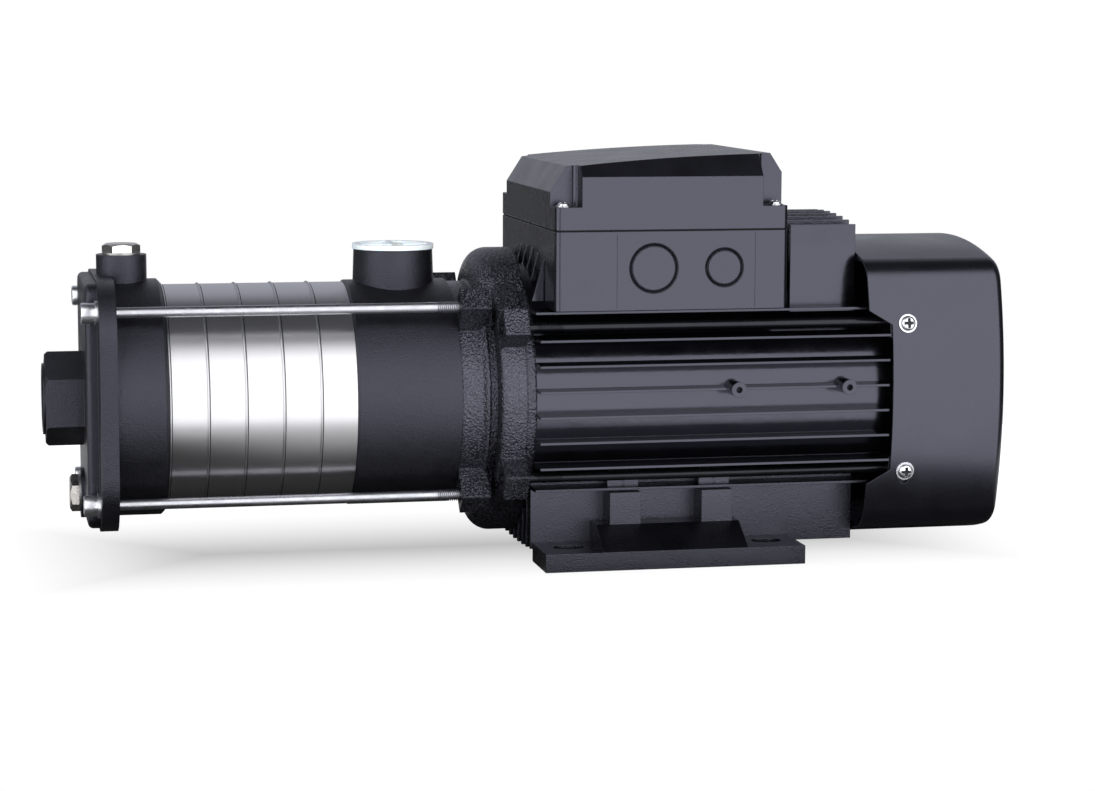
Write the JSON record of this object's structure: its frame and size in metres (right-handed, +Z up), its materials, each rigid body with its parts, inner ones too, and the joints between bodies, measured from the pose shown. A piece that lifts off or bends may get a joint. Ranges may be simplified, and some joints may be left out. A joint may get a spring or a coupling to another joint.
{
  "type": "multistage pump",
  "caption": "Horizontal multistage centrifugal pump: stacked stage chambers held by tie bolts, close-coupled to a foot-mounted, fan-cooled motor with a terminal box on top.",
  "frame": {"origin": "on the mounting surface, at the centre of the four foot slots", "axes": "+X along the shaft from the suction port towards the fan, +Y away from the side with the cable knockouts, +Z up"},
  "size_m": [0.4689, 0.16, 0.1999],
  "materials": {
    "cast_iron_black": "black dip-coated casting, satin",
    "stainless_sleeve": "brushed round the sleeve",
    "stainless_pressed": "pressed, satin",
    "zinc_steel": "bright zinc plated",
    "shaft_steel": "ground",
    "bearing_steel": "ground",
    "lamination_steel": "stacked sheet",
    "seal_ceramic": "lapped ceramic",
    "seal_carbon": "lapped carbon",
    "copper_winding": "varnished copper wire",
    "housing_paint": "gloss black paint on die-cast aluminium",
    "cover_paint": "smooth black powder coat, semi-gloss",
    "box_plastic": "moulded black, satin",
    "terminal_plastic": "moulded",
    "brass_terminal": "bright",
    "capacitor_shell": "moulded, bare",
    "fan_plastic": "moulded",
    "rubber_seal": "moulded",
    "washer_metal": "soft sealing washer",
    "cap_plastic": "translucent white polyethylene"
  },
  "bodies": {
    "pump_and_motor": {"inlet_casing": "cast_iron_black", "tie_bolts": "zinc_steel", "tie_bolt_washers": "zinc_steel", "stage_chamber_1": "stainless_sleeve", "stage_chamber_2": "stainless_sleeve", "stage_chamber_3": "stainless_sleeve", "stage_chamber_4": "stainless_sleeve", "stage_chamber_5": "stainless_sleeve", "outlet_casing": "cast_iron_black", "motor_bracket": "cast_iron_black", "seal_stationary_seat": "seal_ceramic", "bearing_outer_rings": "bearing_steel", "motor_housing": "housing_paint", "through_bolts": "zinc_steel", "stator_core": "lamination_steel", "stator_windings": "copper_winding", "rear_end_shield": "housing_paint", "fan_cover": "cover_paint", "fan_cover_screws": "zinc_steel", "fan_cover_washers": "zinc_steel", "foot_near": "housing_paint", "foot_far": "housing_paint", "foot_screws": "zinc_steel", "terminal_box_base": "box_plastic", "terminal_box_gasket": "rubber_seal", "terminal_block": "terminal_plastic", "terminal_studs": "brass_terminal", "terminal_links": "brass_terminal", "run_capacitor": "capacitor_shell"},
    "rotor": {"shaft": "shaft_steel", "impeller_nut": "stainless_pressed", "impeller_1": "stainless_pressed", "impeller_2": "stainless_pressed", "impeller_3": "stainless_pressed", "impeller_4": "stainless_pressed", "impeller_5": "stainless_pressed", "seal_rotating_ring": "seal_carbon", "seal_spring": "stainless_pressed", "slinger": "rubber_seal", "bearing_inner_rings": "bearing_steel", "rotor_core": "lamination_steel", "cooling_fan": "fan_plastic", "fan_clip": "zinc_steel"},
    "ball_sets": {"bearing_ball_sets": "bearing_steel"},
    "priming_plug_lift": {"priming_plug_washer": "washer_metal"},
    "priming_plug": {"priming_plug": "zinc_steel"},
    "drain_plug_lift": {"drain_plug_washer": "washer_metal"},
    "drain_plug": {"drain_plug": "zinc_steel"},
    "outlet_cap": {"outlet_cap": "cap_plastic"},
    "terminal_box_lid": {"terminal_box_lid": "box_plastic", "lid_screws": "zinc_steel"}
  },
  "joints": [
    {"name": "shaft_spin", "type": "hinge", "parent": "pump_and_motor", "child": "rotor", "pos_m": [0, 0, 0.08], "axis": [1, 0, 0], "continuous": true},
    {"name": "ball_set_spin", "type": "hinge", "parent": "pump_and_motor", "child": "ball_sets", "pos_m": [0, 0, 0.08], "axis": [1, 0, 0], "continuous": true},
    {"name": "priming_plug_rise", "type": "slide", "parent": "pump_and_motor", "child": "priming_plug_lift", "axis": [0, 0, 1], "range_m": [0, 0.00535]},
    {"name": "priming_plug_turn", "type": "hinge", "parent": "priming_plug_lift", "child": "priming_plug", "pos_m": [-0.2602, 0, 0.1502], "axis": [0, 0, 1], "range_deg": [0, 1440]},
    {"name": "drain_plug_travel", "type": "slide", "parent": "pump_and_motor", "child": "drain_plug_lift", "axis": [-1, 0, 0], "range_m": [0, 0.00535]},
    {"name": "drain_plug_turn", "type": "hinge", "parent": "drain_plug_lift", "child": "drain_plug", "pos_m": [-0.2818, 0, 0.0332], "axis": [-1, 0, 0], "range_deg": [0, 1440]},
    {"name": "outlet_cap_pull", "type": "slide", "parent": "pump_and_motor", "child": "outlet_cap", "axis": [0, 0, 1], "range_m": [0, 0.05]},
    {"name": "terminal_lid_lift", "type": "slide", "parent": "pump_and_motor", "child": "terminal_box_lid", "axis": [0, 0, 1], "range_m": [0, 0.06]}
  ],
  "couplings": [
    {"joint": "ball_set_spin", "follows": "shaft_spin", "ratio": 0.38},
    {"joint": "priming_plug_turn", "follows": "priming_plug_rise", "rad_per_m": 4699.5},
    {"joint": "drain_plug_turn", "follows": "drain_plug_travel", "rad_per_m": 4699.5}
  ]
}
